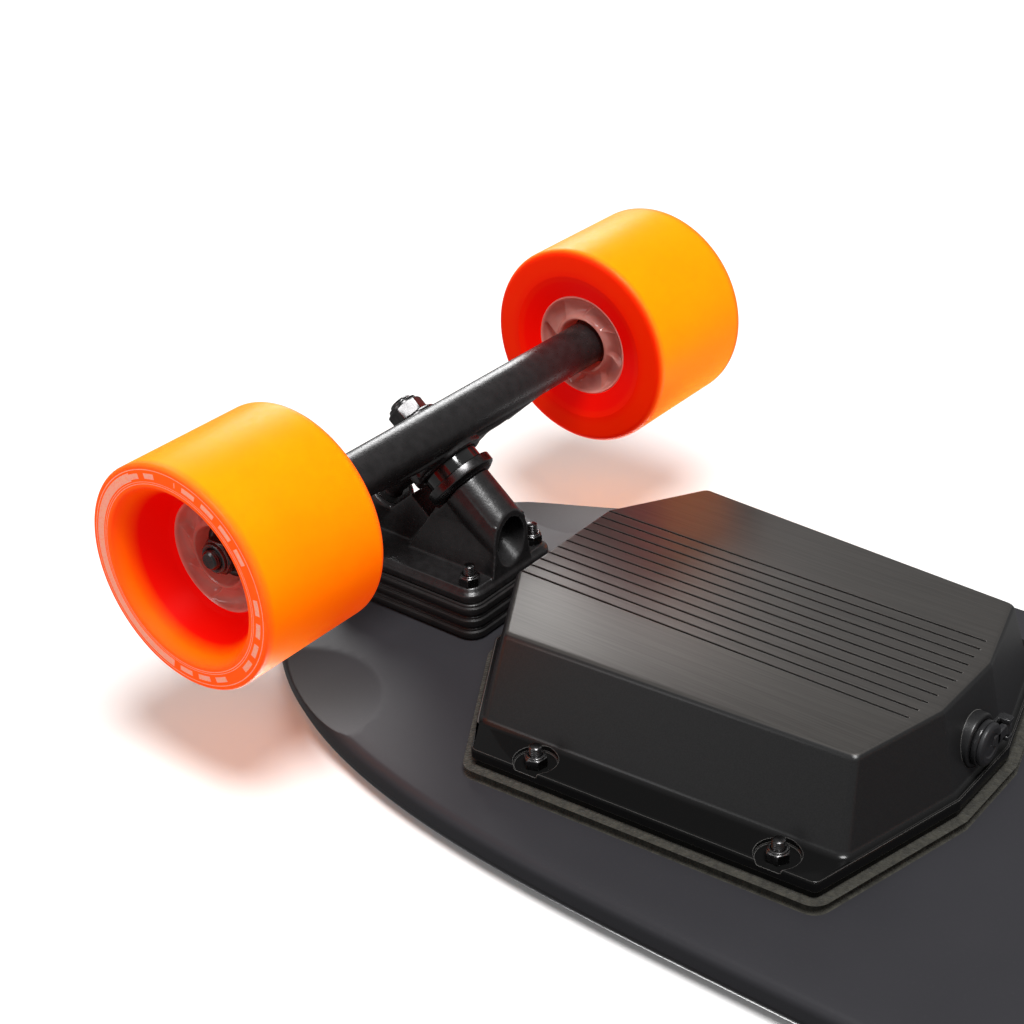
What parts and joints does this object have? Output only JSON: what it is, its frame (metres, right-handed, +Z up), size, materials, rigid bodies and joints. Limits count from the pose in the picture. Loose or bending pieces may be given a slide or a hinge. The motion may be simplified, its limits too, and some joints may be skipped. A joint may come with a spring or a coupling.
{
  "type": "electric skateboard",
  "caption": "Longboard with sprung reverse-kingpin trucks, orange urethane wheels, hub motors at the rear, and battery and controller enclosures under the deck.",
  "frame": {"origin": "on the ground under the middle of the wheelbase, wheels down", "axes": "+X towards the nose, +Y to the rider's left, +Z up out of the deck"},
  "size_m": [0.965, 0.3, 0.1418],
  "materials": {
    "deck_paint": "satin",
    "grip": "matte",
    "riser_rubber": "matte",
    "cast_black": "satin",
    "bushing_urethane": "gloss",
    "black_steel": "satin",
    "steel": "satin",
    "urethane_orange": "satin",
    "core_clear": "gloss",
    "laminations": "matte",
    "copper": "gloss",
    "motor_can": "satin",
    "magnet": "polished",
    "enclosure_black": "satin",
    "gasket_foam": "matte",
    "cell_wrap": "gloss",
    "nickel": "satin",
    "board_green": "satin",
    "heatsink_metal": "satin",
    "cap_rubber": "matte",
    "port_plastic": "gloss",
    "bezel_metal": "satin",
    "cable_sleeve": "satin"
  },
  "bodies": {
    "board": {"deck": "deck_paint", "grip_tape": "grip", "riser_pads": "riser_rubber", "baseplates": "cast_black", "pivot_cups": "bushing_urethane", "kingpins": "black_steel", "boardside_washers": "black_steel", "boardside_bushings": "bushing_urethane", "roadside_bushings": "bushing_urethane", "roadside_washers": "black_steel", "kingpin_nuts": "black_steel", "motor_leads": "cable_sleeve", "truck_bolts": "black_steel", "truck_nuts": "black_steel", "enclosure_bolts": "black_steel", "enclosure_nuts": "black_steel", "battery_enclosure": "enclosure_black", "battery_gasket": "gasket_foam", "battery_cells": "cell_wrap", "cell_straps": "nickel", "bms_board": "board_green", "charge_port": "port_plastic", "controller_enclosure": "enclosure_black", "controller_gasket": "gasket_foam", "controller_board": "board_green", "heatsink": "heatsink_metal", "capacitors": "cap_rubber", "receiver_board": "board_green", "power_bezel": "bezel_metal", "power_lead": "cable_sleeve"},
    "front_truck": {"front_hanger": "cast_black", "front_axle": "steel", "speed_rings": "steel", "bearing_inner_rings": "steel", "bearing_spacers": "steel", "axle_nuts": "black_steel"},
    "front_left_wheel": {"front_left_core": "core_clear", "front_left_tyre": "urethane_orange", "front_left_bearings": "black_steel"},
    "front_right_wheel": {"front_right_core": "core_clear", "front_right_tyre": "urethane_orange", "front_right_bearings": "black_steel"},
    "rear_truck": {"rear_hanger": "cast_black", "motor_shafts": "steel", "motor_spacers": "steel", "motor_bearings": "steel", "stators": "laminations", "windings": "copper"},
    "rear_left_wheel": {"rear_left_rotor": "motor_can", "rear_left_magnets": "magnet", "rear_left_cover": "motor_can", "rear_left_sleeve": "urethane_orange"},
    "rear_right_wheel": {"rear_right_rotor": "motor_can", "rear_right_magnets": "magnet", "rear_right_cover": "motor_can", "rear_right_sleeve": "urethane_orange"},
    "charge_cap": {"charge_cap": "cap_rubber"},
    "power_button": {"power_button": "port_plastic"}
  },
  "joints": [
    {"name": "front_steer", "type": "hinge", "parent": "board", "child": "front_truck", "pos_m": [0.4204, 0, 0.0568], "axis": [0.6428, 0, 0.766], "range_deg": [-20, 20], "stiffness_Nm_per_rad": 45, "deforming": ["boardside_bushings", "roadside_bushings"]},
    {"name": "rear_steer", "type": "hinge", "parent": "board", "child": "rear_truck", "pos_m": [-0.4204, 0, 0.0568], "axis": [-0.6428, 0, 0.766], "range_deg": [-20, 20], "stiffness_Nm_per_rad": 45, "deforming": ["motor_leads"]},
    {"name": "front_left_spin", "type": "hinge", "parent": "front_truck", "child": "front_left_wheel", "pos_m": [0.4105, 0.119, 0.045], "axis": [0, 1, 0], "continuous": true},
    {"name": "front_right_spin", "type": "hinge", "parent": "front_truck", "child": "front_right_wheel", "pos_m": [0.4105, -0.119, 0.045], "axis": [0, 1, 0], "continuous": true},
    {"name": "rear_left_spin", "type": "hinge", "parent": "rear_truck", "child": "rear_left_wheel", "pos_m": [-0.4105, 0.119, 0.045], "axis": [0, 1, 0], "continuous": true},
    {"name": "rear_right_spin", "type": "hinge", "parent": "rear_truck", "child": "rear_right_wheel", "pos_m": [-0.4105, -0.119, 0.045], "axis": [0, 1, 0], "continuous": true},
    {"name": "charge_cap_flip", "type": "hinge", "parent": "board", "child": "charge_cap", "pos_m": [0.16395, 0.013, 0.102], "axis": [0, 0, -1], "range_deg": [0, 120]},
    {"name": "power_press", "type": "slide", "parent": "board", "child": "power_button", "axis": [-1, 0, 0], "range_m": [0, 0.0012], "stiffness_N_per_m": 900}
  ]
}
